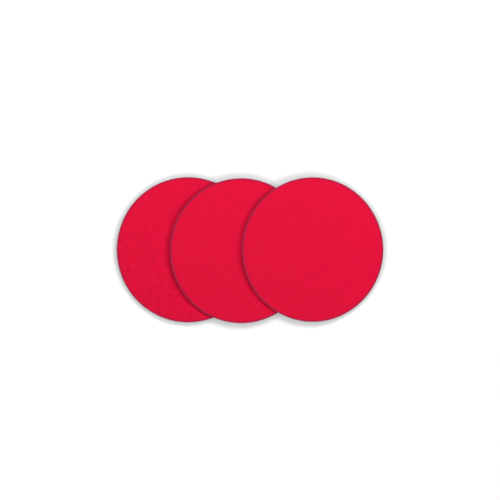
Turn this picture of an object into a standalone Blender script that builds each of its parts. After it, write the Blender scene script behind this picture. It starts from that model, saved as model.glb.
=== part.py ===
"""Three floor-sanding discs, coarse, medium and fine, laid in an overlapping row.

Each disc is a laminate of four bonded layers: a loop fabric that grips the drive pad, a glue
film, a backing paper and a coat of abrasive grain. The row runs along X. Every disc keeps its
round outline. Along X it lies on the disc below, comes down to the surface past that disc's
edge, and tips or curls up at its free ends. Along Y all three are cupped alike, because resin
shrinks as it cures, so they nest.

Units are metres, +Z is up, and the origin is under the middle of the row.
"""

import bisect

import bmesh
import bpy

MM = 0.001

# Outline
DISC_DIAMETER = 432 * MM  # 17 in discs
DISC_RADIUS = DISC_DIAMETER / 2
RIM_SEGMENTS = 96

# Places of the discs in the row
COARSE_TO_MEDIUM = 160.5 * MM
MEDIUM_TO_FINE = 218 * MM
MEDIUM_SIDEWAYS = -2.8 * MM
FINE_SIDEWAYS = 0.6 * MM

# Layers, from the underside up
LOOP_FABRIC = 1.0 * MM
GLUE_FILM = 0.15 * MM
BACKING_PAPER = 0.45 * MM
COARSE_COAT = 0.9 * MM
MEDIUM_COAT = 0.5 * MM
FINE_COAT = 0.3 * MM
BOND_GAP = 0.2 * MM  # between bonded layers
REST_GAP = 0.3 * MM  # between a disc and the one that it lies on

# How the discs bend
COARSE_SETTLE = 150 * MM  # run over which the medium disc comes down past the coarse one
MEDIUM_SETTLE = 108 * MM  # run over which the fine disc comes down past the medium one
LEFT_LIFT = 6.5 * MM  # lift of each disc's left edge
RIGHT_LIFT = 8 * MM  # lift of the fine disc's right edge
RIGHT_CURL_RUN = 140 * MM
CUP_LIFT = 6.5 * MM  # lift of the edges across the row
CUP_START = 72 * MM  # distance from the row's middle line at which the cup begins
CUP_FOLDS = 5  # fold lines on each side of the middle line
FOLD_STEP = 27 * MM  # about the spacing of the fold lines across the row

# Colours are linear red, green, blue and alpha
GRAIN_RED = (0.76, 0.0086, 0.044, 1.0)
PAPER_GREY = (0.16, 0.14, 0.15, 1.0)
GLUE_CLEAR = (0.30, 0.27, 0.22, 1.0)
LOOP_GREY = (0.14, 0.15, 0.20, 1.0)

row_half_length = (COARSE_TO_MEDIUM + MEDIUM_TO_FINE + DISC_DIAMETER) / 2
sideways_middle = (MEDIUM_SIDEWAYS + FINE_SIDEWAYS) / 2


def build_discs():
    """Work out each disc's place, its layers and the stretches over which it bends."""
    coats = [("coarse", COARSE_COAT), ("medium", MEDIUM_COAT), ("fine", FINE_COAT)]
    steps = [0.0, COARSE_TO_MEDIUM, MEDIUM_TO_FINE]
    sideways = [0.0, MEDIUM_SIDEWAYS, FINE_SIDEWAYS]
    discs = []
    x = DISC_RADIUS - row_half_length
    for (grade, coat), step, aside in zip(coats, steps, sideways):
        x += step
        layers = [
            ("loop_fabric", LOOP_FABRIC),
            ("glue_film", GLUE_FILM),
            ("backing_paper", BACKING_PAPER),
            ("grain_coat", coat),
        ]
        discs.append(
            {
                "grade": grade,
                "x": x,
                "y": aside - sideways_middle,
                "layers": layers,
                "thickness": sum(t for _, t in layers) + BOND_GAP * (len(layers) - 1),
            }
        )
    coarse, medium, fine = discs
    # The coarse disc curls, from where the medium one stops holding it down. The others tip over
    # the disc below and curl, from where they last touch it.
    coarse["lift_start"] = medium["x"] - DISC_RADIUS
    coarse["tip"] = 0.0
    medium["lift_start"] = medium["x"]
    medium["tip"] = 0.5
    fine["lift_start"] = medium["x"] + DISC_RADIUS
    fine["tip"] = 0.5
    return discs


def ease_down(t):
    """1 before the stretch, 0 after it, with level ends."""
    t = min(max(t, 0.0), 1.0)
    return 1.0 - t * t * (3.0 - 2.0 * t)


def raised(x, start, edge, lift, tip=0.0):
    """Height that grows from start to lift at the edge: the share tip as a straight slope, the
    rest as an even curl."""
    t = max(0.0, (x - start) / (edge - start))
    return lift * (tip * t + (1.0 - tip) * t * t)


def step_over(lower, x, run):
    """Height that a disc gains by lying on the lower disc, lost again past its right edge."""
    right_edge = lower["x"] + DISC_RADIUS
    return (lower["thickness"] + REST_GAP) * ease_down((x - right_edge) / run)


def underside(discs, index, x):
    """Height of a disc's underside along the row's middle line."""
    disc = discs[index]
    left_edge = disc["x"] - DISC_RADIUS
    height = raised(x, disc["lift_start"], left_edge, LEFT_LIFT, disc["tip"])
    if index >= 1:
        height += step_over(discs[0], x, COARSE_SETTLE)
    if index == 2:
        height += step_over(discs[1], x, MEDIUM_SETTLE)
        right_edge = disc["x"] + DISC_RADIUS
        height += raised(x, right_edge - RIGHT_CURL_RUN, right_edge, RIGHT_LIFT)
    return height


def cup(y):
    """Height that the cup adds across the row, the same for every disc."""
    return raised(abs(y), CUP_START, DISC_RADIUS, CUP_LIFT)


def fold_lines():
    """The X and the Y positions, shared by all discs, between which every surface is flat."""
    count = round(2 * row_half_length / FOLD_STEP) + 1
    across = [-row_half_length + i * 2 * row_half_length / count for i in range(count + 1)]
    reach = DISC_RADIUS + abs(MEDIUM_SIDEWAYS)
    step = (reach - CUP_START) / CUP_FOLDS
    one_side = [CUP_START + i * step for i in range(CUP_FOLDS + 1)]
    return across, [-y for y in reversed(one_side)] + one_side


def along_folds(height_at, place, lines):
    """A height read along the straight run between the two fold lines beside the place."""
    after = min(max(bisect.bisect_left(lines, place), 1), len(lines) - 1)
    start, end = lines[after - 1], lines[after]
    first, last = height_at(start), height_at(end)
    return first + (last - first) * (place - start) / (end - start)


def principled(name, colour, roughness):
    material = bpy.data.materials.new(name)
    material.use_nodes = True
    shader = material.node_tree.nodes["Principled BSDF"]
    shader.inputs["Base Color"].default_value = colour
    shader.inputs["Roughness"].default_value = roughness
    shader.inputs["Metallic"].default_value = 0.0
    material.diffuse_color = colour
    return material


def layer_finish(layer):
    """Colour and roughness of a layer."""
    return {
        "loop_fabric": (LOOP_GREY, 0.95),
        "glue_film": (GLUE_CLEAR, 0.35),
        "backing_paper": (PAPER_GREY, 0.85),
        "grain_coat": (GRAIN_RED, 0.6),
    }[layer]


def cut_along(bm, places, normal):
    """Cut a flat disc about the origin along lines at these places."""
    for place in places:
        if abs(place) < DISC_RADIUS:
            bmesh.ops.bisect_plane(
                bm,
                geom=bm.verts[:] + bm.edges[:] + bm.faces[:],
                dist=1e-6,
                plane_co=(place * normal[0], place * normal[1], 0),
                plane_no=normal,
            )


def make_layer(discs, index, bottom, thickness):
    """Mesh of one layer: the disc's outline cut along the fold lines, bent, then thickened."""
    disc = discs[index]
    across, along = fold_lines()
    bm = bmesh.new()
    bmesh.ops.create_circle(bm, cap_ends=True, segments=RIM_SEGMENTS, radius=DISC_RADIUS)
    cut_along(bm, [x - disc["x"] for x in across], (1, 0, 0))
    cut_along(bm, [y - disc["y"] for y in along], (0, 1, 0))
    for vert in bm.verts:
        row_height = along_folds(
            lambda x: underside(discs, index, x), disc["x"] + vert.co.x, across
        )
        vert.co.z = bottom + row_height + along_folds(cup, disc["y"] + vert.co.y, along)
    top = bmesh.ops.extrude_face_region(bm, geom=bm.faces[:])
    top_verts = [item for item in top["geom"] if isinstance(item, bmesh.types.BMVert)]
    bmesh.ops.translate(bm, verts=top_verts, vec=(0, 0, thickness))
    bmesh.ops.recalc_face_normals(bm, faces=bm.faces[:])
    mesh = bpy.data.meshes.new("layer")
    bm.to_mesh(mesh)
    bm.free()
    return mesh


def make_disc(discs, index):
    """One disc: its layers, each its own object, held by an empty at the disc's middle."""
    disc = discs[index]
    holder = bpy.data.objects.new(f"{disc['grade']}_disc", None)
    holder.location = (disc["x"], disc["y"], 0)
    bpy.context.collection.objects.link(holder)
    bottom = 0.0
    for layer, thickness in disc["layers"]:
        name = f"{disc['grade']}_{layer}"
        mesh = make_layer(discs, index, bottom, thickness)
        mesh.name = name
        mesh.materials.append(principled(name, *layer_finish(layer)))
        piece = bpy.data.objects.new(name, mesh)
        piece.parent = holder
        bpy.context.collection.objects.link(piece)
        mesh.shade_smooth()
        mesh.set_sharp_from_angle(angle=0.5)
        bottom += thickness + BOND_GAP


def main():
    for old in list(bpy.data.objects):
        bpy.data.objects.remove(old)
    discs = build_discs()
    for index in range(len(discs)):
        make_disc(discs, index)
    bpy.context.view_layer.update()


main()
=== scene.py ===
import math

import bmesh
import bpy
import numpy as np
from mathutils import Matrix, Vector, noise


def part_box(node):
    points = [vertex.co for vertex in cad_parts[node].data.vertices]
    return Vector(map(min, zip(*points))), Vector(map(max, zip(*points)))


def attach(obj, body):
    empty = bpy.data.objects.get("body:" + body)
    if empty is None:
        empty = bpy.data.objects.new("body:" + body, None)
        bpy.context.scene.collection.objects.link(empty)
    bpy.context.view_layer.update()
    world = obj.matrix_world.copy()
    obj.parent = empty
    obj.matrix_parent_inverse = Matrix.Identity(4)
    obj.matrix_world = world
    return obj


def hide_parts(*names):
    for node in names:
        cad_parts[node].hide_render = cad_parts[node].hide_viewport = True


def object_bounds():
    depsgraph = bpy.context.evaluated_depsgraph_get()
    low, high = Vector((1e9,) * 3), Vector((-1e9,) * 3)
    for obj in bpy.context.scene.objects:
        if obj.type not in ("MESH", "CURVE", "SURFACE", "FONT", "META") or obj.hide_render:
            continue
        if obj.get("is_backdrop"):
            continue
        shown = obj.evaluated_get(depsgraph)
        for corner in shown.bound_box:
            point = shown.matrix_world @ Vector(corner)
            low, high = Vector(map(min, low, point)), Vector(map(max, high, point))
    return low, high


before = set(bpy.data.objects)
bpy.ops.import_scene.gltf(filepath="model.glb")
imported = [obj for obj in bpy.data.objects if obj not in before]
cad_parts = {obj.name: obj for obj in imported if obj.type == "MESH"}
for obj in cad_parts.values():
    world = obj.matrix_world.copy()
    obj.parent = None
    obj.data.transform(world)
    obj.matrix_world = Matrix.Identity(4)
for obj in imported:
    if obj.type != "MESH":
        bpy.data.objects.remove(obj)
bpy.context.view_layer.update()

mm = 0.001
layerNames = ["loop_fabric", "glue_film", "backing_paper", "grain_coat"]  # from the underside up


def linear(hexColour):
    parts = [int(hexColour[i:i + 2], 16) / 255 for i in (1, 3, 5)]
    return [p / 12.92 if p <= 0.04045 else ((p + 0.055) / 1.055) ** 2.4 for p in parts] + [1.0]


def newMaterial(name):
    material = bpy.data.materials.new(name)
    material.use_nodes = True
    return material, material.node_tree, material.node_tree.nodes["Principled BSDF"]


def add(tree, kind, settings=None, values=None, links=None):
    # settings are the node's own, values fill its sockets, links bring in other nodes' outputs
    node = tree.nodes.new(kind)
    for key, value in (settings or {}).items():
        setattr(node, key, value)
    for key, value in (values or {}).items():
        node.inputs[key].default_value = value
    for key, output in (links or {}).items():
        tree.links.new(output, node.inputs[key])
    return node


def setRamp(node, stops):
    # stops are pairs of place and colour; a colour is a hex string or a grey level
    ramp = node.color_ramp
    for place, colour in stops[1:-1]:
        ramp.elements.new(place)
    for element, (place, colour) in zip(ramp.elements, stops):
        element.position = place
        element.color = linear(colour) if isinstance(colour, str) else (colour, colour, colour, 1)
    return node


foldWidthMm = 27  # the frame's solids are flat between folds about this far apart
same = 0.02 * mm  # places closer than this are one place
cells = 56  # squares across each piece's blank


def readDisc(grade):
    # place, outline, layer heights and bend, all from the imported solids
    def points(layer):
        return np.array([v.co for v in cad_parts[grade + "_" + layer].data.vertices])

    low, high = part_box(grade + "_loop_fabric")
    disc = {"grade": grade, "x": (low.x + high.x) / 2, "y": (low.y + high.y) / 2,
            "radius": (high.x - low.x) / 2}
    base = points("loop_fabric")
    left = base[:, 0].min() + 0.01 * mm
    foot = base[base[:, 0] < left, 2].min()
    levels = []
    for layer in layerNames:
        heights = points(layer)
        heights = heights[heights[:, 0] < left, 2]
        levels.append((heights.min() - foot, heights.max() - foot))
    # each layer runs up to the next one's underside, so the bonds are closed
    bottoms = [bottom for bottom, top in levels] + [levels[-1][1]]
    disc["layers"] = {name: (bottoms[i], bottoms[i + 1]) for i, name in enumerate(layerNames)}
    # the bend is a curve along the row plus a cup across it, and each is read off fold lines
    for x in sorted(np.unique(np.round(base[:, 0], 5)), key=lambda x: abs(x - disc["x"])):
        cupY, cupZ = lowest(base[abs(base[:, 0] - x) < same], 1)
        if len(cupY) > 8:  # a rim point has only its mirror point at the same x
            break
    cupZ = cupZ - cupZ.min()
    flat = abs(cupY[cupZ < 0.001 * mm]).max()
    disc["cup"] = smoothed(cupY, cupZ)
    disc["bend"] = smoothed(*lowest(base[abs(base[:, 1]) < flat + same], 0))
    return disc


def lowest(points, axis):
    # the lowest height at each place along an axis
    places = np.unique(np.round(points[:, axis], 5))
    heights = [points[abs(points[:, axis] - place) < same, 2].min() for place in places]
    return places, np.array(heights)


def smoothed(places, heights):
    # the folds are rounded by averaging over a fold's width, and the ends run on straight
    window = foldWidthMm  # in steps of 1 mm
    at = np.arange(places[0] - window * mm, places[-1] + window * mm, mm)
    z = np.interp(at, places, heights)
    start = (heights[1] - heights[0]) / (places[1] - places[0])
    end = (heights[-1] - heights[-2]) / (places[-1] - places[-2])
    z = np.where(at < places[0], heights[0] + (at - places[0]) * start, z)
    z = np.where(at > places[-1], heights[-1] + (at - places[-1]) * end, z)
    keep = slice(window // 2, len(at) - window // 2)
    return at[keep], np.convolve(z, np.ones(window) / window, mode="valid")


def cutBlank(radius, thickness, topCuts, bottomCuts, ease):
    # a square blank of the layer, its rim eased by a small bevel; roundOff turns it round
    bm = bmesh.new()
    bmesh.ops.create_grid(bm, x_segments=cells, y_segments=cells, size=radius)
    made = bmesh.ops.extrude_face_region(bm, geom=bm.faces[:])
    lifted = [g for g in made["geom"] if isinstance(g, bmesh.types.BMVert)]
    bmesh.ops.translate(bm, verts=lifted, vec=(0, 0, thickness))
    bmesh.ops.recalc_face_normals(bm, faces=bm.faces[:])
    rim = [e for e in bm.edges if len(e.link_faces) == 2 and e.calc_face_angle() > 1
           and abs(e.verts[0].co.z - e.verts[1].co.z) < thickness / 2]
    bmesh.ops.bevel(bm, geom=rim, offset=ease, offset_type="OFFSET", segments=2, profile=0.5,
                    affect="EDGES", material=-1, clamp_overlap=False)
    bm.normal_update()
    for cuts, side in ((topCuts, 1), (bottomCuts, -1)):
        if cuts:
            faces = [f for f in bm.faces if f.normal.z * side > 0.99]
            edges = list({e for f in faces for e in f.edges})
            bmesh.ops.subdivide_edges(bm, edges=edges, cuts=cuts, use_grid_fill=True)
            bm.normal_update()
    return bm


def pointsOf(bm):
    return np.array([v.co for v in bm.verts], float)


def roundOff(points):
    # squares about the middle become circles about the middle, evenly spaced
    x, y = points[:, 0].copy(), points[:, 1].copy()
    wide = abs(x) >= abs(y)
    reach = np.where(wide, x, y)
    safe = np.where(abs(reach) < 1e-9, 1.0, reach)
    turn = np.where(wide, math.pi / 4 * y / safe, math.pi / 2 - math.pi / 4 * x / safe)
    points[:, 0] = reach * np.cos(turn)
    points[:, 1] = reach * np.sin(turn)
    return np.hypot(points[:, 0], points[:, 1]), np.arctan2(points[:, 1], points[:, 0])


def noiseAt(points, sizeMm, seed):
    # smooth noise from -1 to 1 whose lumps are about sizeMm across
    k = 1 / (sizeMm * mm)
    return np.array([noise.noise(Vector((x * k, y * k, seed))) for x, y in points[:, :2]])


def finishPiece(name, bm, points, disc, material):
    # bends the flat piece, puts it in its place and gives it to its body
    mesh = bpy.data.meshes.new(name)
    bm.to_mesh(mesh)
    bm.free()
    points[:, 0] += disc["x"]
    points[:, 1] += disc["y"]
    points[:, 2] += np.interp(points[:, 0], *disc["bend"])
    points[:, 2] += np.interp(points[:, 1], *disc["cup"])
    mesh.vertices.foreach_set("co", points.astype(np.float32).ravel())
    mesh.update()
    mesh.shade_smooth()
    mesh.materials.append(material)
    piece = bpy.data.objects.new(name, mesh)
    bpy.context.scene.collection.objects.link(piece)
    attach(piece, disc["grade"] + "_disc")
    return piece


# grain coat: mineral grain in make and size coats of red resin
grainCoat = {
    "coarse": {"cuts": 4, "lumpMm": 9.0, "lump": 0.14 * mm, "grain": 0.12 * mm, "seed": 11.3},
    "medium": {"cuts": 3, "lumpMm": 7.0, "lump": 0.08 * mm, "grain": 0.06 * mm, "seed": 27.9},
    "fine": {"cuts": 2, "lumpMm": 12.0, "lump": 0.02 * mm, "grain": 0.015 * mm, "seed": 43.1},
    "setBack": 0.3 * mm,  # the die bruises the brittle coat back from the paper's edge
    "ragged": 0.25 * mm,
    "raggedMm": (3.0, 1.4),  # broad bites out of the rim and finer ones on them
    "fineShare": 0.6,
    "bruise": 0.6,  # the bites go inwards more than outwards
    "rimBand": 4 * mm,
    "ease": 0.2 * mm,
    "tallest": 1.8,  # grains stand no further out than this many times the usual
}


def makeGrainCoat(disc, material):
    coat = grainCoat[disc["grade"]]
    bottom, top = disc["layers"]["grain_coat"]
    thickness = top - bottom - coat["lump"] - 2 * coat["grain"]
    radius = disc["radius"] - grainCoat["setBack"]
    bm = cutBlank(radius, thickness, coat["cuts"], 0, grainCoat["ease"])
    points = pointsOf(bm)
    reach, angle = roundOff(points)
    # the rim is ragged by the size of the grain
    band = grainCoat["rimBand"]
    near = np.clip((reach - radius + band) / band, 0, 1)
    onRim = np.stack([radius * np.cos(angle), radius * np.sin(angle)], 1)
    broad, fine = grainCoat["raggedMm"]
    ragged = noiseAt(onRim, broad, coat["seed"])
    ragged += grainCoat["fineShare"] * noiseAt(onRim, fine, coat["seed"] + 5)
    out = near * (ragged - grainCoat["bruise"]) * grainCoat["ragged"]
    points[:, 0] += np.cos(angle) * out
    points[:, 1] += np.sin(angle) * out
    # grain stands up on the working face, over slow waves in the resin
    face = (points[:, 2] > thickness * 0.9) & (reach < radius - grainCoat["ease"] / 2)
    rng = np.random.default_rng(int(coat["seed"] * 10))
    lumps = noiseAt(points, coat["lumpMm"], coat["seed"]) * coat["lump"]
    tallest = grainCoat["tallest"]
    grains = np.clip(rng.normal(0, 1, len(points)), -tallest, tallest) * coat["grain"]
    points[:, 2] += np.where(face, lumps + grains, 0) + bottom
    rimDistance = (disc["radius"] - reach) / mm
    grade = disc["grade"]
    piece = finishPiece(grade + "GrainCoat", bm, points, disc, material)
    edge = piece.data.attributes.new("rimDistance", "FLOAT", "POINT")
    edge.data.foreach_set("value", rimDistance.astype(np.float32))
    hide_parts(grade + "_grain_coat")


# backing paper: heavy kraft paper, die-cut
backingPaper = {"ease": 0.08 * mm}


def makeBackingPaper(disc, material):
    bottom, top = disc["layers"]["backing_paper"]
    bm = cutBlank(disc["radius"], top - bottom, 0, 0, backingPaper["ease"])
    points = pointsOf(bm)
    roundOff(points)
    points[:, 2] += bottom
    piece = finishPiece(disc["grade"] + "BackingPaper", bm, points, disc, material)
    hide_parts(disc["grade"] + "_backing_paper")


# glue film: laminating adhesive between paper and fabric
glueFilm = {"ease": 0.05 * mm, "setBack": 0.15 * mm}


def makeGlueFilm(disc, material):
    bottom, top = disc["layers"]["glue_film"]
    bm = cutBlank(disc["radius"] - glueFilm["setBack"], top - bottom, 0, 0, glueFilm["ease"])
    points = pointsOf(bm)
    roundOff(points)
    points[:, 2] += bottom
    piece = finishPiece(disc["grade"] + "GlueFilm", bm, points, disc, material)
    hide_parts(disc["grade"] + "_glue_film")


# loop fabric: knitted polyamide, brushed so that its loops stand up
loopFabric = {
    "coarse": {"seed": 61.7},
    "medium": {"seed": 73.3},
    "fine": {"seed": 85.9},
    "cuts": 2,
    "ease": 0.3 * mm,
    "setBack": 0.25 * mm,
    "nap": 0.12 * mm,
    "napMm": 2.4,
    "fuzz": 0.25 * mm,
    "fuzzMm": 1.8,  # lumps of a few loops
    "rimBand": 2 * mm,
}


def makeLoopFabric(disc, material):
    bottom, top = disc["layers"]["loop_fabric"]
    seed = loopFabric[disc["grade"]]["seed"]
    radius = disc["radius"] - loopFabric["setBack"]
    bm = cutBlank(radius, top - bottom, 0, loopFabric["cuts"], loopFabric["ease"])
    points = pointsOf(bm)
    reach, angle = roundOff(points)
    # fuzz at the rim
    band = loopFabric["rimBand"]
    near = np.clip((reach - radius + band) / band, 0, 1)
    out = near * noiseAt(points, loopFabric["fuzzMm"], seed) * loopFabric["fuzz"]
    points[:, 0] += np.cos(angle) * out
    points[:, 1] += np.sin(angle) * out
    # the nap lies unevenly, a little above the lowest level everywhere
    lower = points[:, 2] < (top - bottom) * 0.1
    nap = (0.5 + 0.5 * noiseAt(points, loopFabric["napMm"], seed + 3)) * loopFabric["nap"]
    points[:, 2] += np.where(lower, nap, 0) + bottom
    piece = finishPiece(disc["grade"] + "LoopFabric", bm, points, disc, material)
    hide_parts(disc["grade"] + "_loop_fabric")


# cut loops: where the die cuts the knit, its loops spring out past the edge
cutLoops = {
    "count": 1300,
    "thick": 0.13 * mm,  # a yarn of many filaments; one filament would be 0.03 mm
    "span": 0.7 * mm,
    # least and most of each, where reach and wide are shares of the span, droop and lean are
    # slopes, and level is a share of the fabric's thickness
    "reach": (0.5, 1.5),
    "wide": (0.6, 1.3),
    "droop": (-0.5, 0.6),
    "lean": (-0.5, 0.5),
    "level": (0.3, 0.8),
    "scatter": 0.45,  # of the spacing along the rim, either way
    "root": 0.35 * mm,  # depth at which a loop is held in the knit
    "clearance": 0.05 * mm,
}


def makeCutLoops(disc, material):
    # one arch of yarn, then copies of it with their own length, width and droop
    bm = bmesh.new()
    ring = bmesh.ops.create_circle(bm, segments=4, radius=cutLoops["thick"] / 2)
    bmesh.ops.rotate(bm, verts=ring["verts"], cent=(0, 0, 0),
                     matrix=Matrix.Rotation(math.pi / 2, 3, "X"))
    arch = cutLoops["span"] / 2
    bmesh.ops.translate(bm, verts=bm.verts[:], vec=(arch, 0, 0))
    bmesh.ops.spin(bm, geom=bm.edges[:], cent=(0, 0, 0), axis=(0, 0, 1), angle=math.pi, steps=6)
    bmesh.ops.holes_fill(bm, edges=[e for e in bm.edges if e.is_boundary], sides=4)
    bmesh.ops.recalc_face_normals(bm, faces=bm.faces[:])
    one = bpy.data.meshes.new("oneLoop")
    bm.to_mesh(one)
    count = cutLoops["count"]
    for i in range(count - 1):
        bm.from_mesh(one)
    bpy.data.meshes.remove(one)
    shape = pointsOf(bm).reshape(count, -1, 3)
    rng = np.random.default_rng(int(loopFabric[disc["grade"]]["seed"] * 10))
    bottom, top = disc["layers"]["loop_fabric"]
    scatter = rng.uniform(-cutLoops["scatter"], cutLoops["scatter"], count)
    around = (np.arange(count) + scatter) * 2 * math.pi / count
    out = rng.uniform(*cutLoops["reach"], count) * 2  # the arch is half a span high
    wide = rng.uniform(*cutLoops["wide"], count)
    droop = rng.uniform(*cutLoops["droop"], count)
    lean = rng.uniform(*cutLoops["lean"], count)
    level = rng.uniform(*cutLoops["level"], count) * (top - bottom) + bottom
    foot = disc["radius"] - loopFabric["setBack"] - cutLoops["root"]
    # in each loop's own frame x runs along the rim and y runs outwards
    y = shape[:, :, 1] * out[:, None]
    x = shape[:, :, 0] * wide[:, None] + y * lean[:, None]
    z = shape[:, :, 2] + y * droop[:, None] + level[:, None]
    low = z.min(axis=1) - bottom - cutLoops["clearance"]
    z -= np.minimum(low, 0)[:, None]
    cos, sin = np.cos(around)[:, None], np.sin(around)[:, None]
    points = np.stack([(foot + y) * cos - x * sin, (foot + y) * sin + x * cos, z], axis=2)
    finishPiece(disc["grade"] + "CutLoops", bm, points.reshape(-1, 3), disc, material)


coatLook = {
    "coarse": {"grainMm": 1.4, "mottleMm": 13.0, "mottle": 0.15, "speckle": 0.12, "bump": 0.3,
               "roughness": 0.62, "specular": 0.06},
    "medium": {"grainMm": 0.9, "mottleMm": 16.0, "mottle": 0.06, "speckle": 0.04, "bump": 0.15,
               "roughness": 0.58, "specular": 0.07},
    "fine": {"grainMm": 0.6, "mottleMm": 60.0, "mottle": 0.05, "speckle": 0.025, "bump": 0.05,
             "roughness": 0.52, "specular": 0.08},
    "deepRed": "#B4082A",
    "red": "#DB0D37",
    "brightRed": "#F0103F",
    "edge": "#8E1C46",  # painted shade along the die-cut rim: a darker violet red
    "edgeStops": [(0.0, 0.85), (3.0, 0.48), (6.0, 0.15), (9.0, 0.0)],  # mm from the rim and share of painted rim shade
    "paintedLightGradient": (0.2, 0.32, 0),  # painted light: the coat is painted lighter along +X and +Y, as a share for each metre
    "roughnessSwing": 0.12,  # from grain to grain
    "ior": 1.5,
}


def resinGrainCoat(disc):
    # phenolic resin coat over mineral grain, roller coated: matte, dense red with a faint glint
    look = coatLook[disc["grade"]]
    material, tree, shader = newMaterial(disc["grade"] + "ResinGrainCoat")
    place = add(tree, "ShaderNodeTexCoord").outputs["Object"]
    # where the resin went on thick or thin
    mottle = add(tree, "ShaderNodeTexNoise",
                 values={"Scale": 1 / (look["mottleMm"] * mm), "Detail": 4, "Roughness": 0.65},
                 links={"Vector": place})
    patches = add(tree, "ShaderNodeMapRange",
                  values={"From Min": 0.3, "From Max": 0.7, "To Min": 0.5 - look["mottle"],
                          "To Max": 0.5 + look["mottle"]},
                  links={"Value": mottle.outputs["Fac"]})
    # single grains, drawn two to four times as coarse as real ones so that they show
    grain = add(tree, "ShaderNodeTexVoronoi", {"feature": "F1"},
                values={"Scale": 1 / (look["grainMm"] * mm)}, links={"Vector": place})
    level = add(tree, "ShaderNodeSeparateColor", links={"Color": grain.outputs["Color"]})
    speck = add(tree, "ShaderNodeMapRange",
                values={"To Min": -look["speckle"], "To Max": look["speckle"]},
                links={"Value": level.outputs["Red"]})
    # painted light: each disc is painted lighter towards +X and +Y and darker towards -X and -Y
    fromMiddle = add(tree, "ShaderNodeVectorMath", {"operation": "SUBTRACT"},
                     values={1: (disc["x"], disc["y"], 0)}, links={0: place})
    paintedLightGradient = add(tree, "ShaderNodeVectorMath", {"operation": "DOT_PRODUCT"},
                values={1: coatLook["paintedLightGradient"]}, links={0: fromMiddle.outputs["Vector"]})
    patchy = add(tree, "ShaderNodeMath", {"operation": "ADD"},
                 links={0: patches.outputs["Result"], 1: speck.outputs["Result"]})
    shade = add(tree, "ShaderNodeMath", {"operation": "ADD"},
                links={0: patchy.outputs["Value"], 1: paintedLightGradient.outputs["Value"]})
    reds = setRamp(add(tree, "ShaderNodeValToRGB", links={"Fac": shade.outputs["Value"]}),
                   [(0.0, coatLook["deepRed"]), (0.5, coatLook["red"]),
                    (1.0, coatLook["brightRed"])])
    # painted shade along the rim, darkest at the rim and less so further in
    rim = add(tree, "ShaderNodeAttribute", {"attribute_name": "rimDistance"})
    farthest = coatLook["edgeStops"][-1][0]
    inwards = add(tree, "ShaderNodeMapRange", values={"From Max": farthest},
                  links={"Value": rim.outputs["Fac"]})
    # how much painted rim shade each point gets
    rimShadeShare = setRamp(add(tree, "ShaderNodeValToRGB", links={"Fac": inwards.outputs["Result"]}),
                       [(away / farthest, share) for away, share in coatLook["edgeStops"]])
    colour = add(tree, "ShaderNodeMix", {"data_type": "RGBA"},
                 values={7: linear(coatLook["edge"])},
                 links={0: rimShadeShare.outputs["Color"], 6: reds.outputs["Color"]})
    tree.links.new(colour.outputs[2], shader.inputs["Base Color"])
    swing = coatLook["roughnessSwing"]
    rough = add(tree, "ShaderNodeMapRange",
                values={"To Min": look["roughness"] - swing, "To Max": look["roughness"] + swing},
                links={"Value": level.outputs["Green"]})
    tree.links.new(rough.outputs["Result"], shader.inputs["Roughness"])
    bump = add(tree, "ShaderNodeBump", {"invert": True},
               values={"Strength": look["bump"], "Distance": look["grainMm"] * mm * 0.5},
               links={"Height": grain.outputs["Distance"]})
    tree.links.new(bump.outputs["Normal"], shader.inputs["Normal"])
    shader.inputs["IOR"].default_value = coatLook["ior"]
    shader.inputs["Specular IOR Level"].default_value = look["specular"]
    return material


paperLook = {
    "colour": "#86565C",
    "fibre": "#5E3C42",
    "fibreMm": 0.8,
    "bump": 0.2,
    "bumpHeight": 0.1 * mm,
    "roughness": 0.85,
}


def kraftPaper():
    # kraft backing paper, dyed through, calendered and die-cut: dull, with fine fibres
    material, tree, shader = newMaterial("kraftBackingPaper")
    place = add(tree, "ShaderNodeTexCoord").outputs["Object"]
    fibres = add(tree, "ShaderNodeTexNoise",
                 values={"Scale": 1 / (paperLook["fibreMm"] * mm), "Detail": 3},
                 links={"Vector": place})
    tone = setRamp(add(tree, "ShaderNodeValToRGB", links={"Fac": fibres.outputs["Fac"]}),
                   [(0.25, paperLook["fibre"]), (0.6, paperLook["colour"])])
    tree.links.new(tone.outputs["Color"], shader.inputs["Base Color"])
    bump = add(tree, "ShaderNodeBump",
               values={"Strength": paperLook["bump"], "Distance": paperLook["bumpHeight"]},
               links={"Height": fibres.outputs["Fac"]})
    tree.links.new(bump.outputs["Normal"], shader.inputs["Normal"])
    shader.inputs["Roughness"].default_value = paperLook["roughness"]
    return material


glueLook = {"thick": "#7A6A62", "thin": "#8E8074", "patchMm": 6.0, "roughness": 0.4}


def hotMeltFilm():
    # hot-melt laminating film, pressed in: a thin satin line at the edge, thick here, thin there
    material, tree, shader = newMaterial("hotMeltGlueFilm")
    place = add(tree, "ShaderNodeTexCoord").outputs["Object"]
    patches = add(tree, "ShaderNodeTexNoise",
                  values={"Scale": 1 / (glueLook["patchMm"] * mm), "Detail": 2},
                  links={"Vector": place})
    tone = setRamp(add(tree, "ShaderNodeValToRGB", links={"Fac": patches.outputs["Fac"]}),
                   [(0.3, glueLook["thick"]), (0.7, glueLook["thin"])])
    tree.links.new(tone.outputs["Color"], shader.inputs["Base Color"])
    shader.inputs["Roughness"].default_value = glueLook["roughness"]
    return material


fabricLook = {
    "colour": "#5C5C66",
    "shadow": "#3A3A46",
    "ribMm": 1.6,  # real ribs are near 0.9 mm apart, drawn wider so that they show
    "loopMm": 0.9,
    "patchMm": 14.0,
    "bump": 0.5,
    "bumpHeight": 0.4 * mm,
    "roughness": 0.95,
    "sheen": 0.2,
}


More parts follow.
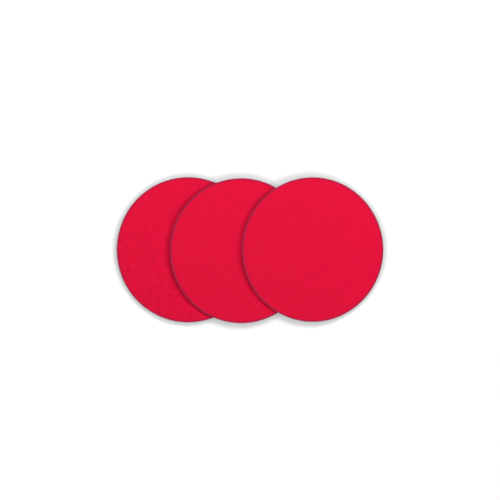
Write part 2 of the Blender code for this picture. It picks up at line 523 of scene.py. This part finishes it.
def brushedLoopKnit():
    # polyamide loop knit, brushed: a soft nap over fine ribs
    material, tree, shader = newMaterial("brushedLoopKnit")
    place = add(tree, "ShaderNodeTexCoord").outputs["Object"]
    # a band wave's period is pi / 10 over its scale
    ribs = add(tree, "ShaderNodeTexWave", {"wave_type": "BANDS", "bands_direction": "X"},
               values={"Scale": math.pi / 10 / (fabricLook["ribMm"] * mm), "Distortion": 1.5,
                       "Detail": 2, "Detail Scale": 1.5},
               links={"Vector": place})
    loops = add(tree, "ShaderNodeTexVoronoi", {"feature": "F1"},
                values={"Scale": 1 / (fabricLook["loopMm"] * mm)}, links={"Vector": place})
    nap = add(tree, "ShaderNodeTexNoise",
              values={"Scale": 1 / (fabricLook["patchMm"] * mm), "Detail": 3},
              links={"Vector": place})
    weave = add(tree, "ShaderNodeMath", {"operation": "MULTIPLY"},
                links={0: ribs.outputs["Fac"], 1: loops.outputs["Distance"]})
    height = add(tree, "ShaderNodeMath", {"operation": "ADD"},
                 links={0: weave.outputs["Value"], 1: nap.outputs["Fac"]})
    tone = setRamp(add(tree, "ShaderNodeValToRGB", links={"Fac": height.outputs["Value"]}),
                   [(0.3, fabricLook["shadow"]), (0.85, fabricLook["colour"])])
    tree.links.new(tone.outputs["Color"], shader.inputs["Base Color"])
    bump = add(tree, "ShaderNodeBump",
               values={"Strength": fabricLook["bump"], "Distance": fabricLook["bumpHeight"]},
               links={"Height": weave.outputs["Value"]})
    tree.links.new(bump.outputs["Normal"], shader.inputs["Normal"])
    shader.inputs["Roughness"].default_value = fabricLook["roughness"]
    shader.inputs["Sheen Weight"].default_value = fabricLook["sheen"]
    return material


stageLook = {
    "floor": "#FCFCFC",
    "size": 40.0,
    "drop": 0.2 * mm,  # below the discs, so that nothing touches it
    "roughness": 0.9,
}


def makeStage():
    bpy.ops.mesh.primitive_plane_add(size=stageLook["size"], location=(0, 0, -stageLook["drop"]))
    floor = bpy.context.object
    floor.name = "studioFloor"
    material, tree, shader = newMaterial("paintedFloor")
    shader.inputs["Base Color"].default_value = linear(stageLook["floor"])
    shader.inputs["Roughness"].default_value = stageLook["roughness"]
    shader.inputs["Specular IOR Level"].default_value = 0.0
    floor.data.materials.append(material)
    floor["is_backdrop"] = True


light = {
    # a ring of soft boxes about 30 degrees up, in a dimmer tent; each stop is the sine of the
    # height and the brightness there
    "tent": [(0.0, 1.0), (0.08, 1.0), (0.16, 0.2), (0.36, 0.2), (0.44, 4.15), (0.56, 4.15),
             (0.64, 0.1), (1.0, 0.05)],
    # name, watts, size, place and the point that it faces
    "boxes": [("keyBox", 10.5, 1.2, (0.25, 1.6, 1.4), (0, 0, 0)),
              ("fillBox", 7.0, 1.0, (-0.3, -1.9, 0.35), (-0.1, -0.8, 0))],
}


def makeLight():
    brightest = max(level for place, level in light["tent"])
    world = bpy.data.worlds.new("lightTent")
    world.use_nodes = True
    tree = world.node_tree
    sky = tree.nodes["Background"]
    way = add(tree, "ShaderNodeTexCoord").outputs["Generated"]
    height = add(tree, "ShaderNodeSeparateXYZ", links={"Vector": way}).outputs["Z"]
    bands = setRamp(add(tree, "ShaderNodeValToRGB", links={"Fac": height}),
                    [(place, level / brightest) for place, level in light["tent"]])
    tree.links.new(bands.outputs["Color"], sky.inputs["Color"])
    sky.inputs["Strength"].default_value = brightest
    bpy.context.scene.world = world
    for name, watts, size, place, target in light["boxes"]:
        lamp = bpy.data.lights.new(name, "AREA")
        lamp.shape = "DISK"
        lamp.size = size
        lamp.energy = watts
        box = bpy.data.objects.new(name, lamp)
        box.location = place
        box.rotation_euler = (Vector(target) - box.location).to_track_quat("-Z", "Y").to_euler()
        box.visible_camera = False
        bpy.context.scene.collection.objects.link(box)
    bpy.context.scene.view_settings.view_transform = "Standard"
    bpy.context.scene.view_settings.exposure = 0.0


camera = {
    "lens": 400.0,
    "sensor": 36.0,
    "viewWidth": 1.4915,  # metres across the picture at the discs
    "tilt": 11.5,  # degrees from straight above, towards the coarse disc
    "aside": (-0.002, 0.0005),
    "farthest": 100.0,
}


def makeCamera():
    low, high = (Vector(corner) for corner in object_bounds())
    aim = (low + high) / 2 + Vector((*camera["aside"], 0))
    distance = camera["viewWidth"] * camera["lens"] / camera["sensor"]
    tilt = math.radians(camera["tilt"])
    away = Vector((-math.sin(tilt), 0, math.cos(tilt)))
    data = bpy.data.cameras.new("camera")
    data.type = "PERSP"
    data.lens = camera["lens"]
    data.sensor_width = camera["sensor"]
    data.clip_end = camera["farthest"]
    eye = bpy.data.objects.new("camera", data)
    eye.location = aim + away * distance
    # the row stays level in the picture: the camera only turns about +Y
    eye.rotation_euler = (0, -tilt, 0)
    bpy.context.scene.collection.objects.link(eye)
    bpy.context.scene.camera = eye


discs = [readDisc(grade) for grade in ("coarse", "medium", "fine")]
print("discs read:", [(disc["grade"], round(disc["x"] / mm, 1)) for disc in discs])
knit, film, paper = brushedLoopKnit(), hotMeltFilm(), kraftPaper()
print("materials made")
for disc in discs:
    makeLoopFabric(disc, knit)
    makeCutLoops(disc, knit)
    makeGlueFilm(disc, film)
    makeBackingPaper(disc, paper)
    makeGrainCoat(disc, resinGrainCoat(disc))
    print(disc["grade"], "disc made")
makeStage()
makeLight()
makeCamera()
print("stage, light and camera set")
